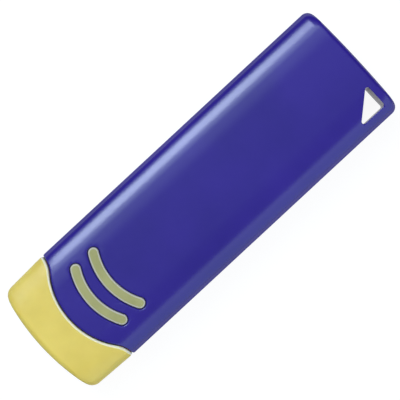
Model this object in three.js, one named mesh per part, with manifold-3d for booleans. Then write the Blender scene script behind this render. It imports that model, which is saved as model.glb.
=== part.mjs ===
// A flat friction eraser: a hard two-shell case, a rubber tip moulded on a hard core, and curved grip inlays.
// It lies on its rear face: +X runs to the strap end, +Z out of the front face. Sizes are in millimetres.

import * as THREE from "three";
import { mergeVertices } from "three/addons/utils/BufferGeometryUtils.js";
import Module from "manifold-3d";

const wasm = await Module();
wasm.setup();

// Case. Lengths along the axis are counted from the crown of the joint between case and tip.
const CASE_LENGTH = 63.4;
const CASE_WIDTH = 22;
const CASE_THICKNESS = 9.6;
const WALL = 1.6;
const BULKHEAD = 1.6;

// Cross-section: a flat land on each face, then a shoulder, a bend and a round edge down to the side.
// The tilts, in degrees, are the surface's where shoulder and bend end.
const SHOULDER_RADIUS = 26;
const SHOULDER_TILT = 5;
const BEND_RADIUS = 6.5;
const BEND_TILT = 30;
const EDGE_RADIUS = 2.2;

// Strap end
const STRAP_END_RADIUS = 200;
const STRAP_CORNER_RADIUS = 1.4;
const STRAP_RIM_RADIUS = 0.9;

// Strap hole: a right triangle in one corner, with its legs along the side and along the end
const STRAP_HOLE_LENGTH = 5.4;
const STRAP_HOLE_HEIGHT = 4.75;
const STRAP_HOLE_MARGIN = 1.8;
const STRAP_HOLE_CORNER = 0.4;
const STRAP_COLLAR_WALL = 1.2;

// Joint between case and tip: a crowned arc that flares out square to the sides
const JOINT_RADIUS = 13.3;
const JOINT_FLARE_RADIUS = 5;
const JOINT_GAP = 0.2;

// Rubber tip
const TIP_LENGTH = 6.6;
const TIP_NARROWING = 0.8;
const TIP_THINNING = 1.2;
const TIP_END_RADIUS = 40.6;
const TIP_CORNER_RADIUS = 1.75;
const TIP_RIM_RADIUS = 1;

// Hard core inside the tip
const TIP_COVER = 2.3;
const CORE_SIDE_COVER = 5;
const CORE_THICKNESS = 2.4;
const CORE_CORNER_RADIUS = 1.4;
const CORE_RIM = 1;
const CORE_FIT = 0.1;
const FLOW_HOLE_RADIUS = 1;
const FLOW_HOLE_COUNT = 3;

// Grip inlays on both faces
const GRIP_SETBACK = 4.7;
const GRIP_PITCH = 3.97;
const GRIP_RADIUS = 11.2;
const GRIP_WIDTH = 1.8;
const GRIP_SIDE_MARGIN = 4.5;
const GRIP_FLOOR = 0.7;
const GRIP_FIT = 0.06;
const GRIP_PEG_RADIUS = 0.5;
const GRIP_PEG_COUNT = 3;
const GRIP_HEAD_RADIUS = 0.9;
const GRIP_HEAD_HEIGHT = 0.4;

// Pins that join the shells: one pair through the core's tang, one pair near the strap end
const PIN_RADIUS = 1.3;
const PIN_FIT = 0.1;
const PIN_END_GAP = 0.3;
const PIN_BOSS_WALL = 1.1;
const LOCK_PIN_CLEARANCE = 0.5;
const END_PIN_SIDE_INSET = 5;
const END_PIN_END_INSET = 15;

// Edge where the shells meet
const SEAM_GAP = 0.1;
const LIP_HEIGHT = 1;
const LIP_FIT = 0.1;

// Cross ribs inside each shell
const RIB_THICKNESS = 1;
const RIB_PITCH = 9;
const RIB_COUNT = 2;
const RIB_SEAM_CLEARANCE = 1.2;

// Modelling allowances
const OVERRUN = 5;
const SKIN = 0.02;
const LEAST_CORNER = 0.4;
const LEAST_RIM = 0.2;
const SAME_POINT = 1e-4;
const ARC_STEPS = 6;
const WIDE_ARC_STEPS = 18;
const RIM_STEPS = 4;
const ROUND_SIDES = 16;

// Places worked out from the sizes
const HALF_WIDTH = CASE_WIDTH / 2;
const HALF_THICKNESS = CASE_THICKNESS / 2;
const INNER_FACE = HALF_THICKNESS - WALL;
const GROOVE_FLOOR = INNER_FACE + GRIP_FLOOR;
const JOINT_TURN = Math.asin(HALF_WIDTH / (JOINT_RADIUS + JOINT_FLARE_RADIUS));
const JOINT_DEPTH = (JOINT_RADIUS + JOINT_FLARE_RADIUS) * (1 - Math.cos(JOINT_TURN));
const GRIP_TURN = Math.asin((HALF_WIDTH - GRIP_SIDE_MARGIN - GRIP_WIDTH / 2) / GRIP_RADIUS);
const GRIP_NAMES = ["near", "far"];
const FAR_GRIP_END_X = gripCentreX(GRIP_NAMES.length - 1) - GRIP_RADIUS * Math.cos(GRIP_TURN);
const PIN_BOSS_RADIUS = PIN_RADIUS + PIN_BOSS_WALL;
const LOCK_PIN_X = FAR_GRIP_END_X + GRIP_HEAD_RADIUS + PIN_BOSS_RADIUS + LOCK_PIN_CLEARANCE;
const LOCK_PIN_RIM = PIN_RADIUS + PIN_FIT + CORE_RIM;
const CORE_NOSE_X = TIP_COVER - TIP_LENGTH;
const CORE_END_X = LOCK_PIN_X + LOCK_PIN_RIM;
const CORE_HALF_WIDTH = HALF_WIDTH - CORE_SIDE_COVER;
const CORE_SEAT = CORE_THICKNESS / 2 + CORE_FIT;
const SEAM = SEAM_GAP / 2;
const FACES = { front: 1, rear: -1 };

// Solids: closed three.js geometries that can be joined and cut
function solidOf(geometry) {
  geometry.deleteAttribute("normal");
  geometry.deleteAttribute("uv");
  const merged = mergeVertices(geometry, SAME_POINT);
  const vertProperties = new Float32Array(merged.attributes.position.array);
  const triVerts = new Uint32Array(merged.index.array);
  return new wasm.Manifold(new wasm.Mesh({ numProp: 3, vertProperties, triVerts }));
}

function joined(solids) {
  return solids.reduce((whole, next) => whole.add(next));
}

function shapeOf(points) {
  const apart = points.filter((point, i) => point.distanceTo(points.at(i - 1)) > SAME_POINT);
  return new THREE.Shape(apart);
}

// An outline in plan, extruded between two heights given in either order
function prism(points, height, otherHeight) {
  const low = Math.min(height, otherHeight);
  const depth = Math.abs(otherHeight - height);
  const geometry = new THREE.ExtrudeGeometry(shapeOf(points), { depth, bevelEnabled: false });
  return solidOf(geometry.translate(0, 0, low));
}

function upright(x, y, radius, height, otherHeight) {
  const length = Math.abs(otherHeight - height);
  const geometry = new THREE.CylinderGeometry(radius, radius, length, ROUND_SIDES);
  geometry.rotateX(Math.PI / 2);
  return solidOf(geometry.translate(x, y, (height + otherHeight) / 2));
}

// A box across the whole width, between two places along the length and two heights
function slab(x, otherX, height, otherHeight) {
  const width = CASE_WIDTH + 2 * OVERRUN;
  const geometry = new THREE.BoxGeometry(Math.abs(otherX - x), width, Math.abs(otherHeight - height));
  return solidOf(geometry.translate((x + otherX) / 2, 0, (height + otherHeight) / 2));
}

// Outline points
function arc(centreX, centreY, radius, from, to, steps = ARC_STEPS) {
  const curve = new THREE.EllipseCurve(centreX, centreY, radius, radius, from, to, to < from);
  return curve.getPoints(steps);
}

// A convex polygon, given counter-clockwise, with one radius on all its corners
function roundedPolygon(corners, radius) {
  return corners.flatMap((corner, i) => {
    const back = corners.at(i - 1).clone().sub(corner).normalize();
    const ahead = corners[(i + 1) % corners.length].clone().sub(corner).normalize();
    const halfAngle = Math.acos(back.dot(ahead)) / 2;
    const middle = back.clone().add(ahead).normalize();
    const centre = corner.clone().addScaledVector(middle, radius / Math.sin(halfAngle));
    const facing = Math.atan2(-middle.y, -middle.x);
    const sweep = Math.PI / 2 - halfAngle;
    return arc(centre.x, centre.y, radius, facing - sweep, facing + sweep);
  });
}

// Plan outline with one bowed end, which points along -x, and straight sides back from it to backX.
// The sides lean in by lean between startX and the end.
function bowedOutline({ startX, backX, reach, halfWidth, lean, endRadius, cornerRadius }) {
  const centre = new THREE.Vector2(endRadius - reach, 0);
  const along = new THREE.Vector2(-reach - startX, -lean).normalize();
  const inward = new THREE.Vector2(-along.y, along.x);
  const start = new THREE.Vector2(startX, halfWidth).addScaledVector(inward, cornerRadius);
  const offset = start.clone().sub(centre);
  const ahead = offset.dot(along);
  const clear = offset.lengthSq() - (endRadius - cornerRadius) ** 2;
  const corner = start.clone().addScaledVector(along, Math.sqrt(ahead ** 2 - clear) - ahead);
  const sideAngle = Math.atan2(-inward.y, -inward.x);
  const endAngle = corner.clone().sub(centre).angle();
  const fullTurn = 2 * Math.PI;
  const backY = halfWidth + (lean * (backX - startX)) / (startX + reach);
  return [
    new THREE.Vector2(backX, backY),
    ...arc(corner.x, corner.y, cornerRadius, sideAngle, endAngle),
    ...arc(centre.x, 0, endRadius, endAngle, fullTurn - endAngle, WIDE_ARC_STEPS),
    ...arc(corner.x, -corner.y, cornerRadius, fullTurn - endAngle, fullTurn - sideAngle),
    new THREE.Vector2(backX, -backY),
  ];
}

function turnedHalfway(points) {
  return points.map((point) => new THREE.Vector2(-point.x, -point.y));
}

function insetCorner(radius, inset) {
  return Math.max(radius - inset, LEAST_CORNER);
}

function insetRim(radius, inset) {
  return Math.max(radius - inset, LEAST_RIM);
}

// Envelope of case and tip, or the same form drawn in by an inset

// The arcs from the land to the side, each between two tilts of the surface
function sectionArcs() {
  const shoulderTilt = THREE.MathUtils.degToRad(SHOULDER_TILT);
  const bendTilt = THREE.MathUtils.degToRad(BEND_TILT);
  const edgeRadius = Math.min(EDGE_RADIUS, HALF_THICKNESS - WALL);
  return [
    { radius: SHOULDER_RADIUS, from: 0, to: shoulderTilt },
    { radius: BEND_RADIUS, from: shoulderTilt, to: bendTilt },
    { radius: edgeRadius, from: bendTilt, to: Math.PI / 2 },
  ];
}

// Cross-section in the plane across the length
function sectionPoints(inset) {
  const arcs = sectionArcs();
  const runs = arcs.map(({ radius, from, to }) => radius * (Math.sin(to) - Math.sin(from)));
  const land = HALF_WIDTH - runs.reduce((sum, run) => sum + run);
  const topAngle = Math.PI / 2;
  let y = land;
  let z = HALF_THICKNESS;
  const quarter = arcs.flatMap(({ radius, from, to }) => {
    const centreY = y - radius * Math.sin(from);
    const centreZ = z - radius * Math.cos(from);
    y = centreY + radius * Math.sin(to);
    z = centreZ + radius * Math.cos(to);
    return arc(centreY, centreZ, insetCorner(radius, inset), topAngle - from, topAngle - to);
  });
  const otherSide = quarter.map((point) => new THREE.Vector2(-point.x, point.y));
  const top = [...quarter.reverse(), ...otherSide];
  return [...top, ...turnedHalfway(top)];
}

// How much of its size the tip keeps at a place along the length, for the share lost at its end
function tipScale(x, endLoss) {
  return 1 - (endLoss * (JOINT_DEPTH - x)) / (JOINT_DEPTH + TIP_LENGTH);
}

// The section carried along the length: straight on the case, drawn in towards the end of the tip
function sectionBar(inset) {
  const farTip = -TIP_LENGTH - OVERRUN;
  const stations = [
    {
      x: farTip,
      across: tipScale(farTip, TIP_NARROWING / CASE_WIDTH),
      through: tipScale(farTip, TIP_THINNING / CASE_THICKNESS),
    },
    { x: JOINT_DEPTH, across: 1, through: 1 },
    { x: CASE_LENGTH + OVERRUN, across: 1, through: 1 },
  ];
  const spans = stations.length - 1;
  const options = { depth: spans, steps: spans, bevelEnabled: false };
  const geometry = new THREE.ExtrudeGeometry(shapeOf(sectionPoints(inset)), options);
  const position = geometry.attributes.position;
  for (let i = 0; i < position.count; i += 1) {
    const station = stations[Math.round(position.getZ(i))];
    position.setXYZ(i, station.x, position.getX(i) * station.across, position.getY(i) * station.through);
  }
  return solidOf(geometry);
}

// An outline extruded through the thickness, with its rims rounded
function rimmedPrism(outline, rim, inset) {
  const half = HALF_THICKNESS + SKIN - inset;
  const options = {
    depth: 2 * (half - rim),
    bevelThickness: rim,
    bevelSize: rim,
    bevelOffset: -rim,
    bevelSegments: RIM_STEPS,
  };
  return new THREE.ExtrudeGeometry(shapeOf(outline), options).translate(0, 0, rim - half);
}

function strapEndForm(inset) {
  const outline = bowedOutline({
    startX: -JOINT_DEPTH,
    backX: TIP_LENGTH + OVERRUN,
    reach: CASE_LENGTH - inset,
    halfWidth: HALF_WIDTH + SKIN - inset,
    lean: 0,
    endRadius: STRAP_END_RADIUS - inset,
    cornerRadius: insetCorner(STRAP_CORNER_RADIUS, inset),
  });
  return solidOf(rimmedPrism(turnedHalfway(outline), insetRim(STRAP_RIM_RADIUS, inset), inset));
}

// The faces of this form lean with the tip's, and so stand clear of the case
function tipEndForm(inset) {
  const outline = bowedOutline({
    startX: JOINT_DEPTH,
    backX: CASE_LENGTH + OVERRUN,
    reach: TIP_LENGTH - inset,
    halfWidth: HALF_WIDTH + SKIN - inset,
    lean: TIP_NARROWING / 2,
    endRadius: TIP_END_RADIUS - inset,
    cornerRadius: insetCorner(TIP_CORNER_RADIUS, inset),
  });
  const geometry = rimmedPrism(outline, insetRim(TIP_RIM_RADIUS, inset), inset);
  const position = geometry.attributes.position;
  for (let i = 0; i < position.count; i += 1) {
    position.setZ(i, position.getZ(i) * tipScale(position.getX(i), TIP_THINNING / CASE_THICKNESS));
  }
  return solidOf(geometry);
}

function envelope(inset) {
  return sectionBar(inset).intersect(strapEndForm(inset)).intersect(tipEndForm(inset));
}

// Joint line from the side at +y to the side at -y, moved along the length
function jointLine(shift) {
  const flareX = JOINT_DEPTH - JOINT_FLARE_RADIUS + shift;
  const archX = JOINT_RADIUS + shift;
  return [
    new THREE.Vector2(JOINT_DEPTH + shift, HALF_WIDTH + OVERRUN),
    ...arc(flareX, HALF_WIDTH, JOINT_FLARE_RADIUS, 0, -JOINT_TURN),
    ...arc(archX, 0, JOINT_RADIUS, Math.PI - JOINT_TURN, Math.PI + JOINT_TURN, WIDE_ARC_STEPS),
    ...arc(flareX, -HALF_WIDTH, JOINT_FLARE_RADIUS, JOINT_TURN, 0),
    new THREE.Vector2(JOINT_DEPTH + shift, -HALF_WIDTH - OVERRUN),
  ];
}

function caseSide(shift) {
  const far = CASE_LENGTH + OVERRUN;
  const line = jointLine(shift);
  const last = line.at(-1);
  const outline = [...line, new THREE.Vector2(far, last.y), new THREE.Vector2(far, -last.y)];
  return prism(outline, -CASE_THICKNESS, CASE_THICKNESS);
}

function tipSide(shift) {
  const far = -TIP_LENGTH - OVERRUN;
  const line = jointLine(shift);
  const first = line[0];
  const outline = [...line.reverse(), new THREE.Vector2(far, first.y), new THREE.Vector2(far, -first.y)];
  return prism(outline, -CASE_THICKNESS, CASE_THICKNESS);
}

// Hard core: nose in the rubber, tang between the shells
function corePlate(grow) {
  const half = CORE_HALF_WIDTH + grow;
  const nose = CORE_NOSE_X - grow;
  const end = CORE_END_X + grow;
  const corners = [
    new THREE.Vector2(nose, -half),
    new THREE.Vector2(end, -half),
    new THREE.Vector2(end, half),
    new THREE.Vector2(nose, half),
  ];
  const height = CORE_THICKNESS / 2 + grow;
  return prism(roundedPolygon(corners, CORE_CORNER_RADIUS + grow), -height, height);
}

// One plug per flow hole, used for the holes in the core and for the rubber that fills them
function flowPlugs(grow) {
  const rim = CORE_RIM + FLOW_HOLE_RADIUS;
  const x = CORE_NOSE_X + rim;
  const pitch = (2 * (CORE_HALF_WIDTH - rim)) / (FLOW_HOLE_COUNT - 1);
  const plugs = Array.from({ length: FLOW_HOLE_COUNT }, (_, i) => {
    const y = (i - (FLOW_HOLE_COUNT - 1) / 2) * pitch;
    return upright(x, y, FLOW_HOLE_RADIUS + grow, -CORE_THICKNESS, CORE_THICKNESS);
  });
  return joined(plugs);
}

function lockPinPlaces() {
  const y = CORE_HALF_WIDTH - LOCK_PIN_RIM;
  return [-y, y].map((place) => ({ x: LOCK_PIN_X, y: place, seat: CORE_SEAT }));
}

function endPinPlaces() {
  const y = HALF_WIDTH - END_PIN_SIDE_INSET;
  return [-y, y].map((place) => ({ x: CASE_LENGTH - END_PIN_END_INSET, y: place, seat: SEAM }));
}

function pinPlaces() {
  return [...lockPinPlaces(), ...endPinPlaces()];
}

function tipCore() {
  const holes = lockPinPlaces().map(({ x, y }) => {
    return upright(x, y, PIN_RADIUS + PIN_FIT, -CORE_THICKNESS, CORE_THICKNESS);
  });
  return corePlate(0).subtract(flowPlugs(0)).subtract(joined(holes));
}

function eraserTip() {
  const rubber = envelope(0).intersect(tipSide(-JOINT_GAP));
  const plugs = flowPlugs(-CORE_FIT).intersect(tipSide(-JOINT_GAP));
  return rubber.subtract(corePlate(CORE_FIT)).add(plugs);
}

// Grip inlays: a curved bar in a groove, with pegs through the wall and a head on each inside
function gripCentreX(index) {
  return GRIP_SETBACK + index * GRIP_PITCH + GRIP_RADIUS;
}

function gripBar(index, face, grow) {
  const centreX = gripCentreX(index);
  const half = GRIP_WIDTH / 2 + grow;
  const first = Math.PI - GRIP_TURN;
  const last = Math.PI + GRIP_TURN;
  const endX = centreX - GRIP_RADIUS * Math.cos(GRIP_TURN);
  const endY = GRIP_RADIUS * Math.sin(GRIP_TURN);
  const outline = [
    ...arc(centreX, 0, GRIP_RADIUS + half, first, last, WIDE_ARC_STEPS),
    ...arc(endX, -endY, half, last, last + Math.PI),
    ...arc(centreX, 0, GRIP_RADIUS - half, last, first, WIDE_ARC_STEPS),
    ...arc(endX, endY, half, first + Math.PI, first + 2 * Math.PI),
  ];
  return prism(outline, face * (GROOVE_FLOOR - grow), face * CASE_THICKNESS);
}

function gripPegPlaces(index) {
  return Array.from({ length: GRIP_PEG_COUNT }, (_, i) => {
    const angle = Math.PI - GRIP_TURN + (2 * GRIP_TURN * (i + 0.5)) / GRIP_PEG_COUNT;
    const x = gripCentreX(index) + GRIP_RADIUS * Math.cos(angle);
    return { x, y: GRIP_RADIUS * Math.sin(angle) };
  });
}

function gripPegs(index, face, grow) {
  const root = (GROOVE_FLOOR + HALF_THICKNESS) / 2;
  const foot = INNER_FACE - GRIP_FIT - GRIP_HEAD_HEIGHT / 2;
  const pegs = gripPegPlaces(index).map(({ x, y }) => {
    return upright(x, y, GRIP_PEG_RADIUS + grow, face * foot, face * root);
  });
  return joined(pegs);
}

function gripHeads(index, face) {
  const top = INNER_FACE - GRIP_FIT;
  const heads = gripPegPlaces(index).map(({ x, y }) => {
    return upright(x, y, GRIP_HEAD_RADIUS, face * (top - GRIP_HEAD_HEIGHT), face * top);
  });
  return joined(heads);
}

function gripInlay(index, face) {
  const bar = gripBar(index, face, 0).intersect(envelope(0));
  return joined([bar, gripPegs(index, face, 0), gripHeads(index, face)]);
}

// What the inlays of one face need cut out of its shell
function gripCuts(face) {
  const cuts = GRIP_NAMES.flatMap((_, index) => {
    return [gripBar(index, face, GRIP_FIT), gripPegs(index, face, GRIP_FIT)];
  });
  return joined(cuts);
}

// Strap hole outline, or the same triangle grown outwards
function strapTriangle(grow) {
  const inRadius =
    (STRAP_HOLE_LENGTH + STRAP_HOLE_HEIGHT - Math.hypot(STRAP_HOLE_LENGTH, STRAP_HOLE_HEIGHT)) / 2;
  const right = new THREE.Vector2(CASE_LENGTH - STRAP_HOLE_MARGIN, STRAP_HOLE_MARGIN - HALF_WIDTH);
  const middle = new THREE.Vector2(right.x - inRadius, right.y + inRadius);
  const corners = [
    right,
    new THREE.Vector2(right.x, right.y + STRAP_HOLE_HEIGHT),
    new THREE.Vector2(right.x - STRAP_HOLE_LENGTH, right.y),
  ];
  const grown = corners.map((corner) => {
    return corner.clone().sub(middle).multiplyScalar(1 + grow / inRadius).add(middle);
  });
  return roundedPolygon(grown, STRAP_HOLE_CORNER + grow);
}

// Case walls before they are split: outer form less the cavity and the way for the core
function caseWalls() {
  const outside = envelope(0).intersect(caseSide(0));
  const cavity = envelope(WALL).intersect(caseSide(BULKHEAD));
  return outside.subtract(cavity).subtract(corePlate(CORE_FIT));
}

// A ring on the inner half of the wall, where the lip of one shell enters the other
function lipRing(fit, depth) {
  const outer = envelope(WALL / 2 - fit).intersect(caseSide(BULKHEAD / 2 - fit));
  const setBack = 2 * fit - LIP_FIT;
  const inner = envelope(WALL + setBack).intersect(caseSide(BULKHEAD + setBack));
  const ring = outer.subtract(inner).intersect(slab(0, CASE_LENGTH, -depth, LIP_HEIGHT));
  const collar = prism(strapTriangle(STRAP_COLLAR_WALL + LIP_FIT - fit), -CASE_THICKNESS, CASE_THICKNESS);
  return ring.subtract(collar).subtract(corePlate(CORE_FIT));
}

function ribs(face) {
  const rows = Array.from({ length: RIB_COUNT }, (_, i) => {
    const x = CORE_END_X + (i + 1) * RIB_PITCH;
    return slab(x, x + RIB_THICKNESS, face * RIB_SEAM_CLEARANCE, face * HALF_THICKNESS);
  });
  return joined(rows);
}

function pinBosses(face) {
  const bosses = pinPlaces().map(({ x, y, seat }) => {
    return upright(x, y, PIN_BOSS_RADIUS, face * seat, face * HALF_THICKNESS);
  });
  return joined(bosses);
}

// What both shells share, for the front face or the rear face
function shell(face) {
  const halfSpace = slab(-OVERRUN, CASE_LENGTH + OVERRUN, face * SEAM, face * CASE_THICKNESS);
  const throughHole = prism(strapTriangle(0), -CASE_THICKNESS, CASE_THICKNESS);
  const collar = prism(strapTriangle(STRAP_COLLAR_WALL), face * SEAM, face * CASE_THICKNESS);
  const walls = caseWalls().intersect(halfSpace);
  const inside = joined([ribs(face), pinBosses(face), collar]).intersect(envelope(WALL / 2));
  const fitted = walls.add(inside);
  return fitted.subtract(throughHole).subtract(gripCuts(face));
}

// The front shell carries the lip and the pins, and the rear shell takes them
function frontShell() {
  const pins = pinPlaces().map(({ x, y }) => {
    return upright(x, y, PIN_RADIUS, PIN_END_GAP - INNER_FACE, INNER_FACE);
  });
  return joined([shell(FACES.front), lipRing(0, LIP_HEIGHT), ...pins]);
}

function rearShell() {
  const sockets = pinPlaces().map(({ x, y }) => {
    return upright(x, y, PIN_RADIUS + PIN_FIT, -INNER_FACE, INNER_FACE);
  });
  return shell(FACES.rear).subtract(lipRing(LIP_FIT, LIP_HEIGHT + LIP_FIT)).subtract(joined(sockets));
}

// Materials
function casePlastic() {
  return new THREE.MeshStandardMaterial({ color: 0x37308a, roughness: 0.38, metalness: 0 });
}

function corePlastic() {
  return new THREE.MeshStandardMaterial({ color: 0xd9d8d0, roughness: 0.5, metalness: 0 });
}

function tipRubber() {
  return new THREE.MeshStandardMaterial({ color: 0xdccd6c, roughness: 0.6, metalness: 0 });
}

function gripRubber() {
  return new THREE.MeshStandardMaterial({ color: 0xa5aa69, roughness: 0.6, metalness: 0 });
}

function meshOf(name, solid, material) {
  const { vertProperties, triVerts } = solid.getMesh();
  const geometry = new THREE.BufferGeometry();
  geometry.setAttribute("position", new THREE.BufferAttribute(vertProperties, 3));
  geometry.setIndex(new THREE.BufferAttribute(triVerts, 1));
  const mesh = new THREE.Mesh(geometry, material);
  mesh.name = name;
  return mesh;
}

// The assembly, with its origin under the middle of the part on the surface that it lies on
const eraser = new THREE.Group();
eraser.position.set((TIP_LENGTH - CASE_LENGTH) / 2, 0, HALF_THICKNESS);
eraser.add(meshOf("front_shell", frontShell(), casePlastic()));
eraser.add(meshOf("rear_shell", rearShell(), casePlastic()));
eraser.add(meshOf("tip_core", tipCore(), corePlastic()));
eraser.add(meshOf("eraser_tip", eraserTip(), tipRubber()));
for (const [faceName, face] of Object.entries(FACES)) {
  GRIP_NAMES.forEach((place, index) => {
    eraser.add(meshOf(`${faceName}_${place}_grip_arc`, gripInlay(index, face), gripRubber()));
  });
}

export default eraser;
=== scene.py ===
from math import acos, asin, atan2, cos, hypot, pi, radians, sin, sqrt

import bmesh
import bpy
from mathutils import Matrix, Vector


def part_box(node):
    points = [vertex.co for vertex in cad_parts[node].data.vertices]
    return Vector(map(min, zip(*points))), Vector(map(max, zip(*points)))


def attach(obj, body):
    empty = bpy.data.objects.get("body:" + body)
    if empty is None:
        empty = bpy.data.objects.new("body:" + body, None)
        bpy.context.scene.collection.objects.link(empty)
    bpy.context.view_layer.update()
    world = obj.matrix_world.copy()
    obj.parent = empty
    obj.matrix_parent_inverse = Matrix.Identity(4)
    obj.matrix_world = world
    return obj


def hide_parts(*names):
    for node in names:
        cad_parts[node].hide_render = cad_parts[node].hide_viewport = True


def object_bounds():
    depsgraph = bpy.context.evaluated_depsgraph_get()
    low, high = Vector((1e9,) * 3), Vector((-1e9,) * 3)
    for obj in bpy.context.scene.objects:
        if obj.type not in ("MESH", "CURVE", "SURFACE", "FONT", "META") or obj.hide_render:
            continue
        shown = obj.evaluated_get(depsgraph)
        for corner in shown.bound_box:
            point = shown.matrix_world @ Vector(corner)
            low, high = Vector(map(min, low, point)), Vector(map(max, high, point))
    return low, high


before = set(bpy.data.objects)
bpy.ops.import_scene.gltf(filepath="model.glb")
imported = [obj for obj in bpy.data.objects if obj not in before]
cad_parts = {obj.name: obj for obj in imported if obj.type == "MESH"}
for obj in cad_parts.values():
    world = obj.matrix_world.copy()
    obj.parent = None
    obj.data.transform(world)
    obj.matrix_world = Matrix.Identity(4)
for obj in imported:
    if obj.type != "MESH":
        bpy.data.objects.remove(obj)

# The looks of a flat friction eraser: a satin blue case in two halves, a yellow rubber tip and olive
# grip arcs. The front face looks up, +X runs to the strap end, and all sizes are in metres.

MM = 0.001

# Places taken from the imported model
CAD_LOW, CAD_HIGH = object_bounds()
TIP_X = CAD_LOW.x
STRAP_X = CAD_HIGH.x
HALF_WIDTH = (CAD_HIGH.y - CAD_LOW.y) / 2
HALF_THICKNESS = (CAD_HIGH.z - CAD_LOW.z) / 2
MIDDLE_Z = (CAD_HIGH.z + CAD_LOW.z) / 2
JOINT_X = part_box("front_shell")[0].x

# Cross-section from the flat land to the side: each arc's radius, the tilt at its end and its steps
SECTION_ARCS = (
    (26 * MM, radians(5), 5),
    (6.5 * MM, radians(30), 10),
    (2.2 * MM, radians(90), 14),
)

# Parting line between the two halves of the case
SEAM_GAP = 0.1 * MM
SEAM_EASE = 0.16 * MM
SEAM_STEPS = 3

# Ends
STRAP_END_RADIUS = 200 * MM
STRAP_CORNER = 1.4 * MM
STRAP_RIM = 0.9 * MM
TIP_END_RADIUS = 40.6 * MM
TIP_CORNER = 1.75 * MM
TIP_RIM = 1 * MM
LEAST_CORNER = 0.5 * MM
TIP_NARROWING = 0.8 * MM
TIP_THINNING = 1.2 * MM
CORNER_STEPS = 10
END_STEPS = 24
SIDE_STEPS = 36

# Joint between case and tip
JOINT_RADIUS = 13.3 * MM
FLARE_RADIUS = 5 * MM
JOINT_GAP = 0.2 * MM
JOINT_STEPS = 48
FLARE_STEPS = 14

# Strap hole
HOLE_LENGTH = 5.4 * MM
HOLE_HEIGHT = 4.75 * MM
HOLE_MARGIN = 1.8 * MM
HOLE_CORNER = 0.4 * MM

# Grip arcs
GRIP_RADIUS = 11.2 * MM
GRIP_WIDTH = 1.8 * MM
GRIP_DEPTH = 0.9 * MM
GRIP_GAP = 0.14 * MM
GRIP_STEPS = 40
GRIP_END_STEPS = 14

# Pegs of the grip arcs, which go through the wall and end in a head
PEG_RADIUS = 0.5 * MM
PEG_COUNT = 3
PEG_HEAD_RADIUS = 0.9 * MM
PEG_HEAD_HEIGHT = 0.4 * MM
PEG_FIT = 0.06 * MM

# Inside of the case
WALL = 1.6 * MM
BULKHEAD = 1.6 * MM
COLLAR_WALL = 1.2 * MM
RIB_THICKNESS = 1 * MM
RIB_PITCH = 9 * MM
RIB_COUNT = 2
RIB_SEAM_CLEARANCE = 1.2 * MM
LIP_HEIGHT = 1 * MM
LIP_FIT = 0.1 * MM
LIP_CLEARANCE = 1.5 * LIP_FIT

# Hard core and the pins that hold it and join the halves
CORE_CORNER = 1.4 * MM
CORE_RIM = 1 * MM
CORE_FIT = 0.1 * MM
FLOW_HOLE_RADIUS = 1 * MM
FLOW_HOLE_COUNT = 3
PIN_RADIUS = 1.3 * MM
PIN_FIT = 0.1 * MM
PIN_END_GAP = 0.3 * MM
PIN_BOSS_WALL = 1.1 * MM
END_PIN_SIDE_INSET = 5 * MM
END_PIN_END_INSET = 15 * MM
ROUND_STEPS = 32

# Eased edges
CASE_EASE = 0.3 * MM
HOLE_EASE = 0.08 * MM
GROOVE_EASE = 0.2 * MM
TIP_EASE = 0.42 * MM
GRIP_EASE = 0.3 * MM
EASE_STEPS = 4
SHARP_ANGLE = radians(38)

# Colours, as linear values
CASE_DARK = (0.014, 0.005, 0.182)
CASE_LIGHT = (0.021, 0.008, 0.213)
TIP_DARK = (0.722, 0.53, 0.092)
TIP_LIGHT = (0.788, 0.592, 0.114)
# Paler colour of the tip's rolled edges: a painted highlight
TIP_EDGE_HIGHLIGHT = (0.97, 0.82, 0.55)
GRIP_DARK = (0.318, 0.294, 0.1)
GRIP_LIGHT = (0.369, 0.34, 0.126)
# Paler colour of the grips' rolled edges: a painted highlight
GRIP_EDGE_HIGHLIGHT = (0.55, 0.5, 0.4)
CORE_DARK = (0.64, 0.63, 0.58)
CORE_LIGHT = (0.71, 0.7, 0.65)

# Finish of the case: satin faces, dull sides and a less dull wall and rim of the strap hole
SATIN_ROUGHNESS = (0.2, 0.26)
SIDE_ROUGHNESS_RISE = 0.5
HOLE_WALL_SHARE = 0.45
HOLE_RIM = 2 * HOLE_EASE

# Finish of the rubber and of the core
TIP_ROUGHNESS = (0.42, 0.55)
GRIP_ROUGHNESS = (0.5, 0.66)
CORE_ROUGHNESS = (0.45, 0.55)

# Light in the tip's rubber: the share that goes in, how far it spreads and each colour's part of that
TIP_SCATTER_SHARE = 0.5
TIP_SCATTER_DEPTH = 1.5 * MM
TIP_SCATTER_HUES = (1.0, 0.85, 0.4)

# Surface patterns: cells per metre and levels of detail
CASE_CLOUD = (70, 3)
CASE_SWELL = (420, 2)
CASE_SPARK = (5200, 2)
TIP_CLOUD = (160, 4)
TIP_DUST = (3600, 3)
GRIP_CLOUD = (260, 4)
GRIP_DUST = (3900, 3)
CORE_CLOUD = (120, 3)
CORE_DUST = (2600, 2)

# Part of a pattern's range that two colours or two values are spread over
COLOUR_SPAN = (0.35, 0.65)
VALUE_SPAN = (0.3, 0.7)

# Surface grain: the height and the strength that each pattern gives
CASE_SWELL_GRAIN = (0.012 * MM, 0.35)
CASE_SPARK_GRAIN = (0.006 * MM, 0.6)
TIP_CLOUD_GRAIN = (0.03 * MM, 0.4)
TIP_DUST_GRAIN = (0.01 * MM, 0.7)
GRIP_CLOUD_GRAIN = (0.02 * MM, 0.4)
GRIP_DUST_GRAIN = (0.01 * MM, 0.7)
CORE_DUST_GRAIN = (0.008 * MM, 0.5)

# Floor: its size, how far it lies under the part, the grey that lights the part, and the shade and the
# glow that are seen
FLOOR_SIZE = 8
FLOOR_DROP = 0.004 * MM
FLOOR_GREY = 0.2
FLOOR_SHADE = 0.12
FLOOR_GLOW = 0.92

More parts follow.
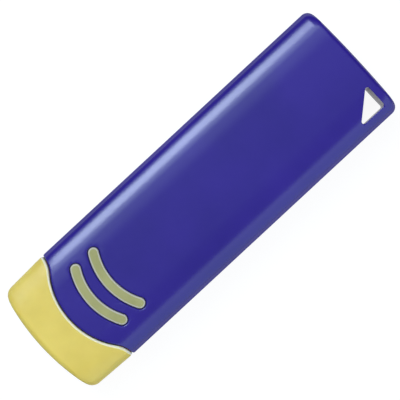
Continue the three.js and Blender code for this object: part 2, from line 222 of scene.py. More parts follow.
# Softboxes: three over the side at +Y, a fill over the side at -Y and a wide roof
KEY_SIZE = (0.17, 0.2)
KEY_DISTANCE = 0.5
KEY_LEAN = radians(42.3)
KEY_RADIANCE = 13.2
KEY_COLOUR = (0.84, 1.0, 1.24)
SPILL_SIZE = (0.4, 0.09)
SPILL_DISTANCE = 0.5
SPILL_LEAN = radians(23)
SPILL_RADIANCE = 2.2
TOP_SIZE = (0.4, 0.24)
TOP_DISTANCE = 0.5
TOP_LEAN = radians(17.5)
TOP_RADIANCE = 1.1
FILL_SIZE = (1.6, 0.9)
FILL_DISTANCE = 0.8
FILL_LEAN = radians(-62)
FILL_RADIANCE = 1.25
ROOF_SIZE = (2, 2)
ROOF_DISTANCE = 1
ROOF_LEAN = 0
ROOF_RADIANCE = 0.31

# Colours of the other softboxes, and the level of the sky
COOL_WHITE = (0.78, 1.0, 1.2)
PLAIN_WHITE = (1, 1, 1)
SKY_LEVEL = 0.12

# Camera: the picture's scale, how the part is turned in it, the height above the front face and the
# place of the part's middle
IMAGE_PIXELS = 400
PIXELS_PER_MM = 6.075
VIEW_TURN = radians(42.85)
CAMERA_HEIGHT = 0.42
OBJECT_CENTRE_PIXEL = (198.35, 202.15)
CLIP_NEAR = 0.01
CLIP_FAR = 20

# Modelling allowances
OVERRUN = 6 * MM
LAND_BORDER = 0.3 * MM
SAME_POINT = 0.004 * MM
UPRIGHT_LIMIT = 0.5

# Marks on the meshes: the slot of a cut's faces, and two values at each vertex
CUT_FACE = 1
# The rolled-edge value marks where the tip and the grips get a painted highlight
ROLLED_EDGE_HIGHLIGHT = "rolled_edge_highlight"
UPRIGHT_SIDE = "upright_side"

# Which way a face looks
FRONT, REAR = 1, -1

# Places worked out from the sizes
JOINT_TURN = asin(HALF_WIDTH / (JOINT_RADIUS + FLARE_RADIUS))
JOINT_DEPTH = (JOINT_RADIUS + FLARE_RADIUS) * (1 - cos(JOINT_TURN))
FLARE_X = JOINT_X + JOINT_DEPTH
INNER_FACE = HALF_THICKNESS - WALL
GROOVE_FLOOR = HALF_THICKNESS - GRIP_DEPTH
CORE_LOW, CORE_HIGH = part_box("tip_core")


# Outlines in plan
def arc(centre, radius, start, end, steps):
    """Points of an arc, both ends included."""
    turns = [start + (end - start) * i / steps for i in range(steps + 1)]
    return [(centre[0] + radius * cos(turn), centre[1] + radius * sin(turn)) for turn in turns]


def bowed_end(end_x, outward, half_width, end_radius, corner):
    """A bowed end with round corners, from the left of its outward direction to the right of it."""
    run = sqrt((end_radius - corner) ** 2 - (half_width - corner) ** 2)
    lean = atan2(half_width - corner, run)
    bow_x = end_x - outward * end_radius
    corner_x = bow_x + outward * run
    facing = 0 if outward > 0 else pi
    side = half_width - corner
    return [
        *arc((corner_x, outward * side), corner, facing + pi / 2, facing + lean, CORNER_STEPS),
        *arc((bow_x, 0), end_radius, facing + lean, facing - lean, END_STEPS)[1:-1],
        *arc((corner_x, -outward * side), corner, facing - lean, facing - pi / 2, CORNER_STEPS),
    ]


def spaced(start, end, steps):
    """Points between two others, which are left out."""
    shares = [i / steps for i in range(1, steps)]
    return [tuple(a + (b - a) * share for a, b in zip(start, end)) for share in shares]


def plan_outline(side_inset, strap_inset, tip_inset):
    """The whole block in plan, drawn in at its sides and at its two ends."""
    half = HALF_WIDTH - side_inset
    strap_corner = max(STRAP_CORNER - strap_inset, LEAST_CORNER)
    tip_corner = max(TIP_CORNER - tip_inset, LEAST_CORNER)
    strap = bowed_end(STRAP_X - strap_inset, 1, half, STRAP_END_RADIUS - strap_inset, strap_corner)
    tip = bowed_end(TIP_X + tip_inset, -1, half, TIP_END_RADIUS - tip_inset, tip_corner)
    right_side = spaced(strap[-1], tip[0], SIDE_STEPS)
    left_side = spaced(tip[-1], strap[0], SIDE_STEPS)
    return [*strap, *right_side, *tip, *left_side]


def joint_line(offset):
    """The joint of case and tip, from the side at +Y to the one at -Y, set off towards the case."""
    flare_x = FLARE_X - FLARE_RADIUS
    flare = FLARE_RADIUS + offset
    arch = JOINT_RADIUS - offset
    outside = HALF_WIDTH + OVERRUN
    return [
        (FLARE_X + offset, outside),
        *arc((flare_x, HALF_WIDTH), flare, 0, -JOINT_TURN, FLARE_STEPS),
        *arc((JOINT_X + JOINT_RADIUS, 0), arch, pi - JOINT_TURN, pi + JOINT_TURN, JOINT_STEPS)[1:-1],
        *arc((flare_x, -HALF_WIDTH), flare, JOINT_TURN, 0, FLARE_STEPS),
        (FLARE_X + offset, -outside),
    ]


def beyond_joint(offset, far_x):
    """The whole of one side of the joint, out to a place beyond the end."""
    outside = HALF_WIDTH + OVERRUN
    return [*joint_line(offset), (far_x, -outside), (far_x, outside)]


def rounded_polygon(corners, radius):
    """A convex polygon, given counter-clockwise, with round corners."""
    points = []
    for i, corner in enumerate(corners):
        here = Vector(corner)
        back = (Vector(corners[i - 1]) - here).normalized()
        ahead = (Vector(corners[(i + 1) % len(corners)]) - here).normalized()
        half_angle = acos(back.dot(ahead)) / 2
        middle = (back + ahead).normalized()
        centre = here + middle * (radius / sin(half_angle))
        facing = atan2(-middle.y, -middle.x)
        sweep = pi / 2 - half_angle
        points += arc(centre, radius, facing - sweep, facing + sweep, CORNER_STEPS)
    return points


def strap_hole_outline(grow):
    """The triangular hole in the corner, or the same triangle grown."""
    right = STRAP_X - HOLE_MARGIN
    low = HOLE_MARGIN - HALF_WIDTH
    in_radius = (HOLE_LENGTH + HOLE_HEIGHT - hypot(HOLE_LENGTH, HOLE_HEIGHT)) / 2
    middle = Vector((right - in_radius, low + in_radius))
    corners = [(right, low), (right, low + HOLE_HEIGHT), (right - HOLE_LENGTH, low)]
    grown = [middle + (Vector(corner) - middle) * (1 + grow / in_radius) for corner in corners]
    return rounded_polygon(grown, HOLE_CORNER + grow)


def grip_sweep(node):
    """A grip arc's centre along the length, how far it reaches to a side and half its sweep."""
    low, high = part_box(node)
    reach = high.y - GRIP_WIDTH / 2
    return low.x + GRIP_WIDTH / 2 + GRIP_RADIUS, reach, asin(reach / GRIP_RADIUS)


def grip_outline(node, grow):
    """The bar of one grip arc with round ends, placed by its node, or the same bar grown."""
    centre_x, reach, turn = grip_sweep(node)
    half = GRIP_WIDTH / 2 + grow
    end_x = centre_x - GRIP_RADIUS * cos(turn)
    first, last = pi - turn, pi + turn
    return [
        *arc((centre_x, 0), GRIP_RADIUS + half, first, last, GRIP_STEPS),
        *arc((end_x, -reach), half, last, last + pi, GRIP_END_STEPS)[1:-1],
        *arc((centre_x, 0), GRIP_RADIUS - half, last, first, GRIP_STEPS),
        *arc((end_x, reach), half, first + pi, first + 2 * pi, GRIP_END_STEPS)[1:-1],
    ]


def peg_places(node):
    """The middles of equal stretches along a grip arc."""
    centre_x, _, turn = grip_sweep(node)
    turns = [pi - turn + 2 * turn * (i + 0.5) / PEG_COUNT for i in range(PEG_COUNT)]
    return [(centre_x + GRIP_RADIUS * cos(place), GRIP_RADIUS * sin(place)) for place in turns]


def pin_places():
    """One pair of pins through the core's tang and one pair near the strap end."""
    rim = PIN_RADIUS + PIN_FIT + CORE_RIM
    pairs = (
        (CORE_HIGH.x - rim, CORE_HIGH.y - rim),
        (STRAP_X - END_PIN_END_INSET, HALF_WIDTH - END_PIN_SIDE_INSET),
    )
    return [(x, side * y) for x, y in pairs for side in (1, -1)]


def flow_hole_places():
    """A row of holes across the core's nose."""
    rim = CORE_RIM + FLOW_HOLE_RADIUS
    pitch = 2 * (CORE_HIGH.y - rim) / (FLOW_HOLE_COUNT - 1)
    return [(CORE_LOW.x + rim, rim - CORE_HIGH.y + i * pitch) for i in range(FLOW_HOLE_COUNT)]


def core_outline(grow):
    """The hard core in plan, or the same plate grown."""
    low_x, high_x = CORE_LOW.x - grow, CORE_HIGH.x + grow
    low_y, high_y = CORE_LOW.y - grow, CORE_HIGH.y + grow
    corners = [(low_x, low_y), (high_x, low_y), (high_x, high_y), (low_x, high_y)]
    return rounded_polygon(corners, CORE_CORNER + grow)


# Meshes
def piece_of(bm, name):
    """A new object from a bmesh, in place in its mesh."""
    mesh = bpy.data.meshes.new(name)
    bm.to_mesh(mesh)
    bm.free()
    piece = bpy.data.objects.new(name, mesh)
    bpy.context.scene.collection.objects.link(piece)
    return piece


def neighbours(ring):
    """Each vertex of a ring with the one after it."""
    return list(zip(ring, [*ring[1:], ring[0]]))


def first_ring(bm, outline, height):
    """A closed loop of vertices and edges that follows an outline."""
    ring = [bm.verts.new((x, y, height)) for x, y in outline]
    for a, b in neighbours(ring):
        bm.edges.new((a, b))
    return ring


def ring_edges(bm, ring):
    """The edges of a ring, in order."""
    return [bm.edges.get(pair) for pair in neighbours(ring)]


def close_ring(bm, ring):
    """Fills a ring with one face."""
    return bmesh.ops.edgeloop_fill(bm, edges=ring_edges(bm, ring))["faces"]


def next_ring(bm, ring, outline, height):
    """Extrudes a ring into the next one, which follows another outline at another height."""
    made = bmesh.ops.extrude_edge_only(bm, edges=ring_edges(bm, ring))["geom"]
    fresh = {item for item in made if isinstance(item, bmesh.types.BMVert)}
    above = {}
    for vert in fresh:
        for edge in vert.link_edges:
            if edge.other_vert(vert) not in fresh:
                above[edge.other_vert(vert)] = vert
    raised = [above[vert] for vert in ring]
    for vert, (x, y) in zip(raised, outline):
        vert.co = (x, y, height)
    return raised


def rim_inset(height, rim):
    """How far a round rim has drawn in at a height above the middle."""
    rise = height - (HALF_THICKNESS - rim)
    if rise <= 0:
        return 0
    return rim - sqrt(max(rim ** 2 - rise ** 2, 0))


def seam_steps():
    """Ease, side inset and height up the eased edge at the parting line."""
    turns = [pi / 2 * i / SEAM_STEPS for i in range(SEAM_STEPS + 1)]
    low = SEAM_GAP / 2
    return [(SEAM_EASE * (1 - sin(turn)), 0, low + SEAM_EASE * (1 - cos(turn))) for turn in turns]


def section_steps(ease=0):
    """Ease, side inset and height up the round edge and over the shoulder to the land."""
    run, drop, tilt = 0, 0, 0
    points = [(run, drop)]
    for outer_radius, end_tilt, steps in SECTION_ARCS:
        radius = outer_radius - ease
        centre = (run - radius * sin(tilt), drop + radius * cos(tilt))
        points += arc(centre, radius, tilt - pi / 2, end_tilt - pi / 2, steps)[1:]
        run, drop = points[-1]
        tilt = end_tilt
    return [(ease, run - out, HALF_THICKNESS - ease - down) for out, down in reversed(points)]


def tip_share(x, end_loss):
    """What the tip keeps of its size at a place along the length."""
    return 1 - end_loss * max(FLARE_X - x, 0) / (FLARE_X - TIP_X)


def half_block(steps):
    """The upper half of case and tip, closed below, with the tip drawn in towards its end."""
    bm = bmesh.new()
    ring = None
    for ease, side_inset, height in steps:
        strap_inset = ease + rim_inset(height, STRAP_RIM)
        tip_inset = ease + rim_inset(height, TIP_RIM)
        outline = plan_outline(side_inset + ease, strap_inset, tip_inset)
        if ring is None:
            ring = first_ring(bm, outline, height)
            close_ring(bm, ring)
        else:
            ring = next_ring(bm, ring, outline, height)
    land = close_ring(bm, ring)
    bmesh.ops.inset_region(bm, faces=land, thickness=LAND_BORDER, use_even_offset=True)
    for vert in bm.verts:
        vert.co.y *= tip_share(vert.co.x, TIP_NARROWING / (2 * HALF_WIDTH))
        vert.co.z *= tip_share(vert.co.x, TIP_THINNING / (2 * HALF_THICKNESS))
    bmesh.ops.recalc_face_normals(bm, faces=bm.faces)
    return bm


def turn_to_face(bm, face):
    """Turns an upper half over for the rear face, and lifts it from the middle to its height."""
    bmesh.ops.scale(bm, vec=(1, 1, face), verts=bm.verts)
    bmesh.ops.translate(bm, vec=(0, 0, MIDDLE_Z), verts=bm.verts)
    bmesh.ops.recalc_face_normals(bm, faces=bm.faces)


def prism(outline, low, high, name):
    """An outline in plan, extruded between two heights."""
    bm = bmesh.new()
    ring = first_ring(bm, outline, low)
    base = close_ring(bm, ring)
    made = bmesh.ops.extrude_face_region(bm, geom=base)["geom"]
    top = [item for item in made if isinstance(item, bmesh.types.BMVert)]
    bmesh.ops.translate(bm, vec=(0, 0, high - low), verts=top)
    bmesh.ops.recalc_face_normals(bm, faces=bm.faces)
    return piece_of(bm, name)


def through_prism(outline, name):
    """An outline in plan, extruded right through the part and past both faces."""
    return prism(outline, CAD_LOW.z - OVERRUN, CAD_HIGH.z + OVERRUN, name)


def face_span(face, near, far):
    """Two heights counted from the middle towards one face, the lower one first."""
    return sorted((MIDDLE_Z + face * near, MIDDLE_Z + face * far))


def round_bar(place, radius, low, high, name):
    """A round bar that stands at a place in plan."""
    return prism(arc(place, radius, 0, 2 * pi, ROUND_STEPS)[1:], low, high, name)


def carve(piece, cutter, operation, ease=0):
    """Cuts a piece with a cutter or joins the two, using up the cutter, and rounds a cut's edges."""
    # Two slots on each, so that the faces which the cutter leaves can be told from the rest
    for user in (piece, cutter):
        user.data.materials.clear()
        user.data.materials.append(None)
        user.data.materials.append(None)
    for polygon in cutter.data.polygons:
        polygon.material_index = CUT_FACE
    cut = piece.modifiers.new("cut", "BOOLEAN")
    cut.solver = "EXACT"
    cut.material_mode = "INDEX"
    cut.operation = operation
    cut.object = cutter
    depsgraph = bpy.context.evaluated_depsgraph_get()
    whole = piece.data
    piece.data = bpy.data.meshes.new_from_object(piece.evaluated_get(depsgraph))
    piece.data.name = piece.name
    piece.modifiers.clear()
    bpy.data.meshes.remove(whole)
    bpy.data.meshes.remove(cutter.data)
    roll_edges(piece, ease)


def cut_ways(wall):
    """For each vertex of a cut, its place and the ways out of the cut and out of the skin beside it."""
    cut = set(wall)
    ways = {}
    for vert in {vert for face in wall for vert in face.verts}:
        out_of_cut = Vector()
        out_of_skin = Vector()
        for face in vert.link_faces:
            if face not in cut:
                out_of_skin += face.normal
            elif abs(face.normal.z) < UPRIGHT_LIMIT:
                out_of_cut += face.normal
        ways[vert.co.to_tuple()] = (vert.co.copy(), out_of_cut.normalized(), out_of_skin.normalized())
    return ways


def roll_edges(piece, ease):
    """Moves a cut's faces out by the ease, along a quarter round that starts on the skin beside it."""
    bm = bmesh.new()
    bm.from_mesh(piece.data)
    rolled = bm.verts.layers.float.get(ROLLED_EDGE_HIGHLIGHT) or bm.verts.layers.float.new(ROLLED_EDGE_HIGHLIGHT)
    bmesh.ops.remove_doubles(bm, verts=bm.verts, dist=SAME_POINT)
    wall = [face for face in bm.faces if face.material_index == CUT_FACE]
    ways = cut_ways(wall)
    steps = EASE_STEPS if ease else 0
    for step in range(1, steps + 1):
        turn = pi / 2 * step / steps
        made = bmesh.ops.extrude_face_region(bm, geom=wall)["geom"]
        bmesh.ops.delete(bm, geom=wall, context="FACES")
        wall = [item for item in made if isinstance(item, bmesh.types.BMFace)]
        moved = {}
        for vert in [item for item in made if isinstance(item, bmesh.types.BMVert)]:
            place, out_of_cut, out_of_skin = ways[vert.co.to_tuple()]
            vert.co = place + ease * (sin(turn) * out_of_cut - (1 - cos(turn)) * out_of_skin)
            # Marks the rolled edge, where the tip and the grips get a painted highlight
            vert[rolled] = 1
            moved[vert.co.to_tuple()] = (place, out_of_cut, out_of_skin)
        ways = moved
    for face in bm.faces:
        face.material_index = 0
    bmesh.ops.recalc_face_normals(bm, faces=bm.faces)
    bm.to_mesh(piece.data)
    bm.free()


def shade(piece):
    """Smooth shading with flat lands: sharp edges stay, and large faces weigh most."""
    for polygon in piece.data.polygons:
        polygon.use_smooth = True
    piece.data.set_sharp_from_angle(angle=SHARP_ANGLE)
    weighted = piece.modifiers.new("weighted normals", "WEIGHTED_NORMAL")
    weighted.keep_sharp = True


def mark_sides(piece):
    """Notes at each vertex how upright the surface is: 0 on a face, 1 on a side, less in the hole."""
    marks = piece.data.attributes.new(UPRIGHT_SIDE, "FLOAT", "POINT")
    hole = strap_hole_outline(HOLE_RIM)
    low_x, low_y = (min(values) for values in zip(*hole))
    high_x, high_y = (max(values) for values in zip(*hole))
    for vert in piece.data.vertices:
        in_hole = low_x < vert.co.x < high_x and low_y < vert.co.y < high_y
        share = HOLE_WALL_SHARE if in_hole else 1
        marks.data[vert.index].value = share * (1 - abs(vert.normal.z))


def finish_piece(piece, node, material):
    """Shades a piece, gives it its material and puts it in the place of its node."""
    shade(piece)
    mark_sides(piece)
    piece.data.materials.clear()
    piece.data.materials.append(material)
    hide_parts(node)
    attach(piece, "root")


# Inside of the case
def case_side(inset, name):
    """Everything on the case's side of the joint, set back from it."""
    return through_prism(beyond_joint(inset, STRAP_X + OVERRUN), name)


def core_plate(grow):
    """The hard core without its holes, or the same plate grown."""
    return prism(core_outline(grow), CORE_LOW.z - grow, CORE_HIGH.z + grow, "core plate")


def cross_rib(index, face):
    """A rib across the inside, which stops short of the parting line."""
    x = CORE_HIGH.x + (index + 1) * RIB_PITCH
    outside = HALF_WIDTH + OVERRUN
    outline = [(x, -outside), (x + RIB_THICKNESS, -outside), (x + RIB_THICKNESS, outside), (x, outside)]
    return prism(outline, *face_span(face, RIB_SEAM_CLEARANCE, HALF_THICKNESS), "rib")


def cavity(face):
    """The hollow of one half: its form drawn in by the wall, less the collar, bosses and ribs."""
    bm = half_block([(WALL, 0, -LIP_HEIGHT), *section_steps(WALL)])
    turn_to_face(bm, face)
    hollow = piece_of(bm, "cavity")
    carve(hollow, case_side(BULKHEAD, "bulkhead"), "INTERSECT")
    carve(hollow, through_prism(strap_hole_outline(COLLAR_WALL), "collar"), "DIFFERENCE")
    boss_radius = PIN_RADIUS + PIN_BOSS_WALL
    for place in pin_places():
        boss = round_bar(place, boss_radius, CAD_LOW.z - OVERRUN, CAD_HIGH.z + OVERRUN, "boss")
        carve(hollow, boss, "DIFFERENCE")
    for index in range(RIB_COUNT):
        carve(hollow, cross_rib(index, face), "DIFFERENCE")
    return hollow


def plan_form(inset, joint_inset, low, high, name):
    """The case in plan, drawn in at its sides and at the joint, between two heights."""
    form = prism(plan_outline(inset, inset, inset), low, high, name)
    carve(form, case_side(joint_inset, "joint side"), "INTERSECT")
    return form


def lip_ring(fit):
    """The lip on the inner half of the front half's wall, or with a fit the groove that takes it."""
    low = MIDDLE_Z - LIP_HEIGHT - fit
    high = MIDDLE_Z + LIP_HEIGHT
    set_back = 2 * fit - LIP_FIT
    clear = LIP_CLEARANCE - fit
    ring = plan_form(WALL / 2 - fit, BULKHEAD / 2 - fit, low, high, "lip")
    inner_wall = WALL + set_back
    inner_bulkhead = BULKHEAD + set_back
    inside = plan_form(inner_wall, inner_bulkhead, low - OVERRUN, high + OVERRUN, "inside of lip")
    carve(ring, inside, "DIFFERENCE")
    carve(ring, through_prism(strap_hole_outline(COLLAR_WALL + clear), "collar"), "DIFFERENCE")
    carve(ring, core_plate(CORE_FIT + clear), "DIFFERENCE")
    return ring


def hollow_out(piece, face, grip_nodes):
    """Cuts the cavity, the seat of the core and the holes for the inlays' pegs."""
    carve(piece, cavity(face), "DIFFERENCE")
    carve(piece, core_plate(CORE_FIT), "DIFFERENCE")
    wall = face_span(face, INNER_FACE - PEG_HEAD_HEIGHT, HALF_THICKNESS)
    for node in grip_nodes:
        for place in peg_places(node):
            carve(piece, round_bar(place, PEG_RADIUS + PEG_FIT, *wall, "peg hole"), "DIFFERENCE")


def add_lip_and_pins(piece):
    """The front half carries the lip and the pins."""
    carve(piece, lip_ring(0), "UNION")
    foot = MIDDLE_Z - INNER_FACE + PIN_END_GAP
    top = MIDDLE_Z + INNER_FACE + WALL / 2
    for place in pin_places():
        carve(piece, round_bar(place, PIN_RADIUS, foot, top, "pin"), "UNION")


def cut_groove_and_sockets(piece):
    """The rear half takes the lip and the pins."""
    carve(piece, lip_ring(LIP_FIT), "DIFFERENCE")
    low, high = MIDDLE_Z - INNER_FACE, MIDDLE_Z + INNER_FACE
    for place in pin_places():
        carve(piece, round_bar(place, PIN_RADIUS + PIN_FIT, low, high, "socket"), "DIFFERENCE")


# Pieces
def face_prism(outline, face, name):
    """A prism from the floor of the grip grooves out past one face."""
    return prism(outline, *face_span(face, GROOVE_FLOOR, HALF_THICKNESS + OVERRUN), name)


def case_half(face, grip_nodes, name):
    """One half of the case, hollow, cut off at the joint, with the strap hole and two grooves."""
    bm = half_block([*seam_steps(), *section_steps()])
    turn_to_face(bm, face)
    piece = piece_of(bm, name)
    carve(piece, case_side(CASE_EASE, "joint cut"), "INTERSECT", CASE_EASE)
    hole = through_prism(strap_hole_outline(HOLE_EASE), "strap hole cut")
    carve(piece, hole, "DIFFERENCE", HOLE_EASE)
    for node in grip_nodes:
        groove = grip_outline(node, GRIP_GAP + GROOVE_EASE)
        carve(piece, face_prism(groove, face, "groove cut"), "DIFFERENCE", GROOVE_EASE)
    hollow_out(piece, face, grip_nodes)
    if face == FRONT:
        add_lip_and_pins(piece)
    else:
        cut_groove_and_sockets(piece)
    return piece


def rubber_tip(name):
    """The rubber tip, whole through its thickness, with the core's pocket and plugs for its holes."""
    bm = half_block([(0, 0, 0), *section_steps()])
    underside = [face for face in bm.faces if all(abs(vert.co.z) < SAME_POINT for vert in face.verts)]
    bmesh.ops.delete(bm, geom=underside, context="FACES_ONLY")
    everything = [*bm.verts, *bm.edges, *bm.faces]
    bmesh.ops.mirror(bm, geom=everything, matrix=Matrix(), merge_dist=SAME_POINT, axis="Z")
    bmesh.ops.remove_doubles(bm, verts=bm.verts, dist=SAME_POINT)
    turn_to_face(bm, FRONT)
    piece = piece_of(bm, name)
    tip_side = beyond_joint(-JOINT_GAP - TIP_EASE, TIP_X - OVERRUN)
    carve(piece, through_prism(tip_side, "joint cut"), "INTERSECT", TIP_EASE)
    carve(piece, core_plate(CORE_FIT), "DIFFERENCE")
    thickness = CORE_HIGH.z - CORE_LOW.z
    low, high = MIDDLE_Z - thickness, MIDDLE_Z + thickness
    for place in flow_hole_places():
        carve(piece, round_bar(place, FLOW_HOLE_RADIUS - CORE_FIT, low, high, "plug"), "UNION")
    return piece


def grip_arc(node, face, name):
    """A rubber bar that follows the surface round it, with round edges and headed pegs on its back."""
    bm = half_block(section_steps())
    turn_to_face(bm, face)
    piece = piece_of(bm, name)
    carve(piece, face_prism(grip_outline(node, -GRIP_EASE), face, "grip cut"), "INTERSECT", GRIP_EASE)
    head_top = INNER_FACE - PEG_FIT
    head_foot = head_top - PEG_HEAD_HEIGHT
    head_span = face_span(face, head_foot, head_top)
    peg_span = face_span(face, (head_top + head_foot) / 2, (GROOVE_FLOOR + HALF_THICKNESS) / 2)
    for place in peg_places(node):
        peg = round_bar(place, PEG_RADIUS, *peg_span, "peg")
        carve(peg, round_bar(place, PEG_HEAD_RADIUS, *head_span, "head"), "UNION")
        carve(piece, peg, "UNION")
    return piece


# Materials
def new_material(name):
    """A new material and its main shader."""
    material = bpy.data.materials.new(name)
    material.use_nodes = True
    return material, material.node_tree.nodes["Principled BSDF"]


def object_noise(material, scale, detail):
    """A noise pattern on object coordinates, with its scale in cells per metre."""
    nodes, links = material.node_tree.nodes, material.node_tree.links
    place = nodes.new("ShaderNodeTexCoord")
    noise = nodes.new("ShaderNodeTexNoise")
    noise.inputs["Scale"].default_value = scale
    noise.inputs["Detail"].default_value = detail
    links.new(place.outputs["Object"], noise.inputs["Vector"])
    return noise.outputs["Fac"]


def colour_range(material, factor, dark, light):
    """Runs a pattern between two colours."""
    nodes, links = material.node_tree.nodes, material.node_tree.links
    ramp = nodes.new("ShaderNodeValToRGB")
    first, last = ramp.color_ramp.elements
    first.position, last.position = COLOUR_SPAN
    first.color = (*dark, 1)
    last.color = (*light, 1)
    links.new(factor, ramp.inputs["Fac"])
    return ramp.outputs["Color"]


def paint_edge_highlight(material, colour, edge):
    """Paints a highlight on the rolled edges of a piece: turns a colour to a paler one there."""
    nodes, links = material.node_tree.nodes, material.node_tree.links
    # The rolled-edge mark that places the painted highlight
    rolled = nodes.new("ShaderNodeAttribute")
    rolled.attribute_name = ROLLED_EDGE_HIGHLIGHT
    mix = nodes.new("ShaderNodeMixRGB")
    links.new(rolled.outputs["Fac"], mix.inputs["Fac"])
    links.new(colour, mix.inputs["Color1"])
    mix.inputs["Color2"].default_value = (*edge, 1)
    return mix.outputs["Color"]


def value_range(material, factor, low, high):
    """Runs a pattern between two values."""
    nodes, links = material.node_tree.nodes, material.node_tree.links
    spread = nodes.new("ShaderNodeMapRange")
    spread.inputs["From Min"].default_value = VALUE_SPAN[0]
    spread.inputs["From Max"].default_value = VALUE_SPAN[1]
    spread.inputs["To Min"].default_value = low
    spread.inputs["To Max"].default_value = high
    links.new(factor, spread.inputs["Value"])
    return spread.outputs["Result"]


def duller_sides(material, roughness, rise):
    """Raises a roughness where the surface stands upright."""
    nodes, links = material.node_tree.nodes, material.node_tree.links
    side = nodes.new("ShaderNodeAttribute")
    side.attribute_name = UPRIGHT_SIDE
    total = nodes.new("ShaderNodeMath")
    total.operation = "MULTIPLY_ADD"
    links.new(value_range(material, side.outputs["Fac"], 0, 1), total.inputs[0])
    total.inputs[1].default_value = rise
    links.new(roughness, total.inputs[2])
    return total.outputs["Value"]


def grain(material, shader, layers):
    """Surface grain from layers of pattern, height in metres and strength, one on another."""
    nodes, links = material.node_tree.nodes, material.node_tree.links
    normal = None
    for pattern, height, strength in layers:
        bump = nodes.new("ShaderNodeBump")
        bump.inputs["Distance"].default_value = height
        bump.inputs["Strength"].default_value = strength
        links.new(pattern, bump.inputs["Height"])
        if normal is not None:
            links.new(normal, bump.inputs["Normal"])
        normal = bump.outputs["Normal"]
    links.new(normal, shader.inputs["Normal"])


def case_plastic():
    """Satin moulded plastic with a fine spark texture, duller on the sides."""
    material, shader = new_material("case plastic")
    links = material.node_tree.links
    cloud = object_noise(material, *CASE_CLOUD)
    swell = object_noise(material, *CASE_SWELL)
    spark = object_noise(material, *CASE_SPARK)
    links.new(colour_range(material, cloud, CASE_DARK, CASE_LIGHT), shader.inputs["Base Color"])
    satin = value_range(material, spark, *SATIN_ROUGHNESS)
    links.new(duller_sides(material, satin, SIDE_ROUGHNESS_RISE), shader.inputs["Roughness"])
    grain(material, shader, [(swell, *CASE_SWELL_GRAIN), (spark, *CASE_SPARK_GRAIN)])
    return material


def tip_rubber():
    """Matte yellow rubber, a little translucent, with a fine moulded grain and a painted highlight on
    its rolled edges.
    """
    material, shader = new_material("tip rubber")
    links = material.node_tree.links
    cloud = object_noise(material, *TIP_CLOUD)
    dust = object_noise(material, *TIP_DUST)
    yellow = colour_range(material, cloud, TIP_DARK, TIP_LIGHT)
    # Painted highlight: the rolled edges of the tip turn paler
    links.new(paint_edge_highlight(material, yellow, TIP_EDGE_HIGHLIGHT), shader.inputs["Base Color"])
    links.new(value_range(material, dust, *TIP_ROUGHNESS), shader.inputs["Roughness"])
    grain(material, shader, [(cloud, *TIP_CLOUD_GRAIN), (dust, *TIP_DUST_GRAIN)])
    shader.inputs["Subsurface Weight"].default_value = TIP_SCATTER_SHARE
    shader.inputs["Subsurface Radius"].default_value = TIP_SCATTER_HUES
    shader.inputs["Subsurface Scale"].default_value = TIP_SCATTER_DEPTH
    return material


def grip_rubber():
    """Matte olive rubber with a fine grain and a painted highlight on its rolled edges."""
    material, shader = new_material("grip rubber")
    links = material.node_tree.links
    cloud = object_noise(material, *GRIP_CLOUD)
    dust = object_noise(material, *GRIP_DUST)
    olive = colour_range(material, cloud, GRIP_DARK, GRIP_LIGHT)
    # Painted highlight: the rolled edges of the grips turn paler
    links.new(paint_edge_highlight(material, olive, GRIP_EDGE_HIGHLIGHT), shader.inputs["Base Color"])
    links.new(value_range(material, dust, *GRIP_ROUGHNESS), shader.inputs["Roughness"])
    grain(material, shader, [(cloud, *GRIP_CLOUD_GRAIN), (dust, *GRIP_DUST_GRAIN)])
    return material


def core_plastic():
    """Plain off-white moulded plastic of the hidden core."""
    material, shader = new_material("core plastic")
    links = material.node_tree.links
    cloud = object_noise(material, *CORE_CLOUD)
    dust = object_noise(material, *CORE_DUST)
    links.new(colour_range(material, cloud, CORE_DARK, CORE_LIGHT), shader.inputs["Base Color"])
    links.new(value_range(material, cloud, *CORE_ROUGHNESS), shader.inputs["Roughness"])
    grain(material, shader, [(dust, *CORE_DUST_GRAIN)])
    return material


# Stage
def grey_diffuse(material, level):
    """A plain dull grey."""
    shader = material.node_tree.nodes.new("ShaderNodeBsdfDiffuse")
    shader.inputs["Color"].default_value = (level, level, level, 1)
    return shader.outputs["BSDF"]


def seen_rays(material):
    """One for rays that show the floor: from the camera, off gloss or through glass."""
    nodes, links = material.node_tree.nodes, material.node_tree.links
    path = nodes.new("ShaderNodeLightPath")
    total = path.outputs["Is Camera Ray"]
    for ray in ("Is Glossy Ray", "Is Transmission Ray"):
        plus = nodes.new("ShaderNodeMath")
        plus.operation = "ADD"
        plus.use_clamp = True
        links.new(total, plus.inputs[0])
        links.new(path.outputs[ray], plus.inputs[1])
        total = plus.outputs["Value"]
    return total


def floor_material():
    """White where it is seen, with the object's shadow, and grey to what it lights."""
    material, _ = new_material("floor")
    nodes, links = material.node_tree.nodes, material.node_tree.links
    nodes.clear()
    output = nodes.new("ShaderNodeOutputMaterial")
    mix = nodes.new("ShaderNodeMixShader")
    glow = nodes.new("ShaderNodeEmission")
    glow.inputs["Strength"].default_value = FLOOR_GLOW
    white = nodes.new("ShaderNodeAddShader")
    links.new(grey_diffuse(material, FLOOR_SHADE), white.inputs[0])
    links.new(glow.outputs["Emission"], white.inputs[1])
    links.new(seen_rays(material), mix.inputs["Fac"])
    links.new(grey_diffuse(material, FLOOR_GREY), mix.inputs[1])
    links.new(white.outputs["Shader"], mix.inputs[2])
    links.new(mix.outputs["Shader"], output.inputs["Surface"])
    return material


def lay_floor():
    """A plain floor that the part lies on."""
    bm = bmesh.new()
    bmesh.ops.create_grid(bm, x_segments=1, y_segments=1, size=FLOOR_SIZE / 2)
    bmesh.ops.translate(bm, vec=(0, 0, CAD_LOW.z - FLOOR_DROP), verts=bm.verts)
    floor = piece_of(bm, "floor")
    floor.data.materials.append(floor_material())


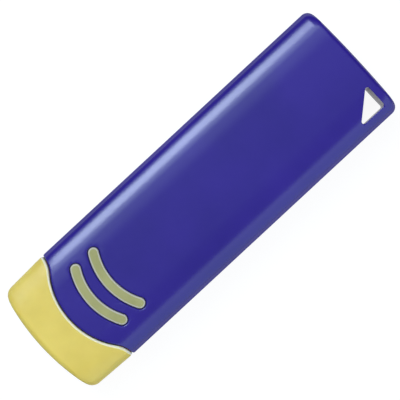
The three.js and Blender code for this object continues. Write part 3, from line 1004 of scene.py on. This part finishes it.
def hang_softbox(name, size, distance, lean, radiance, colour):
    """A softbox that faces the object, leaning towards +Y, or towards -Y where the lean is negative."""
    light = bpy.data.lights.new(name, "AREA")
    light.shape = "RECTANGLE"
    light.size, light.size_y = size
    light.energy = radiance * pi * size[0] * size[1]
    light.color = colour
    lamp = bpy.data.objects.new(name, light)
    lamp.location = (0, distance * sin(lean), MIDDLE_Z + distance * cos(lean))
    lamp.rotation_euler = (-lean, 0, 0)
    bpy.context.scene.collection.objects.link(lamp)


def fill_sky():
    """A faint even light from all round."""
    world = bpy.data.worlds.new("studio")
    world.use_nodes = True
    sky = world.node_tree.nodes["Background"]
    sky.inputs["Color"].default_value = (*PLAIN_WHITE, 1)
    sky.inputs["Strength"].default_value = SKY_LEVEL
    bpy.context.scene.world = world


def set_camera():
    """Square on to the front face, strap end up and right, to scale where the case is widest."""
    data = bpy.data.cameras.new("camera")
    camera = bpy.data.objects.new("camera", data)
    pixel = MM / PIXELS_PER_MM
    across = (IMAGE_PIXELS / 2 - OBJECT_CENTRE_PIXEL[0]) * pixel
    up = (OBJECT_CENTRE_PIXEL[1] - IMAGE_PIXELS / 2) * pixel
    right_axis = Vector((cos(VIEW_TURN), -sin(VIEW_TURN), 0))
    up_axis = Vector((sin(VIEW_TURN), cos(VIEW_TURN), 0))
    height = CAD_HIGH.z + CAMERA_HEIGHT
    camera.location = across * right_axis + up * up_axis + Vector((0, 0, height))
    camera.rotation_euler = (0, 0, -VIEW_TURN)
    _, _, widest_rise = section_steps()[0]
    distance = height - MIDDLE_Z - widest_rise
    data.lens = data.sensor_width * distance / (IMAGE_PIXELS * pixel)
    data.clip_start = CLIP_NEAR
    data.clip_end = CLIP_FAR
    bpy.context.scene.collection.objects.link(camera)
    bpy.context.scene.camera = camera


# Scene
set_camera()
lay_floor()
hang_softbox("key softbox", KEY_SIZE, KEY_DISTANCE, KEY_LEAN, KEY_RADIANCE, KEY_COLOUR)
hang_softbox("spill softbox", SPILL_SIZE, SPILL_DISTANCE, SPILL_LEAN, SPILL_RADIANCE, COOL_WHITE)
hang_softbox("top softbox", TOP_SIZE, TOP_DISTANCE, TOP_LEAN, TOP_RADIANCE, COOL_WHITE)
hang_softbox("fill softbox", FILL_SIZE, FILL_DISTANCE, FILL_LEAN, FILL_RADIANCE, COOL_WHITE)
hang_softbox("roof softbox", ROOF_SIZE, ROOF_DISTANCE, ROOF_LEAN, ROOF_RADIANCE, PLAIN_WHITE)
fill_sky()

blue = case_plastic()
olive = grip_rubber()
for side, face in (("front", FRONT), ("rear", REAR)):
    grip_nodes = [f"{side}_{place}_grip_arc" for place in ("near", "far")]
    half = case_half(face, grip_nodes, f"{side}_case_half")
    finish_piece(half, f"{side}_shell", blue)
    for node in grip_nodes:
        finish_piece(grip_arc(node, face, f"{node}_inlay"), node, olive)
finish_piece(rubber_tip("rubber_tip"), "eraser_tip", tip_rubber())

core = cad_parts["tip_core"]
core.data.materials.clear()
core.data.materials.append(core_plastic())

bpy.context.scene.view_settings.view_transform = "Standard"
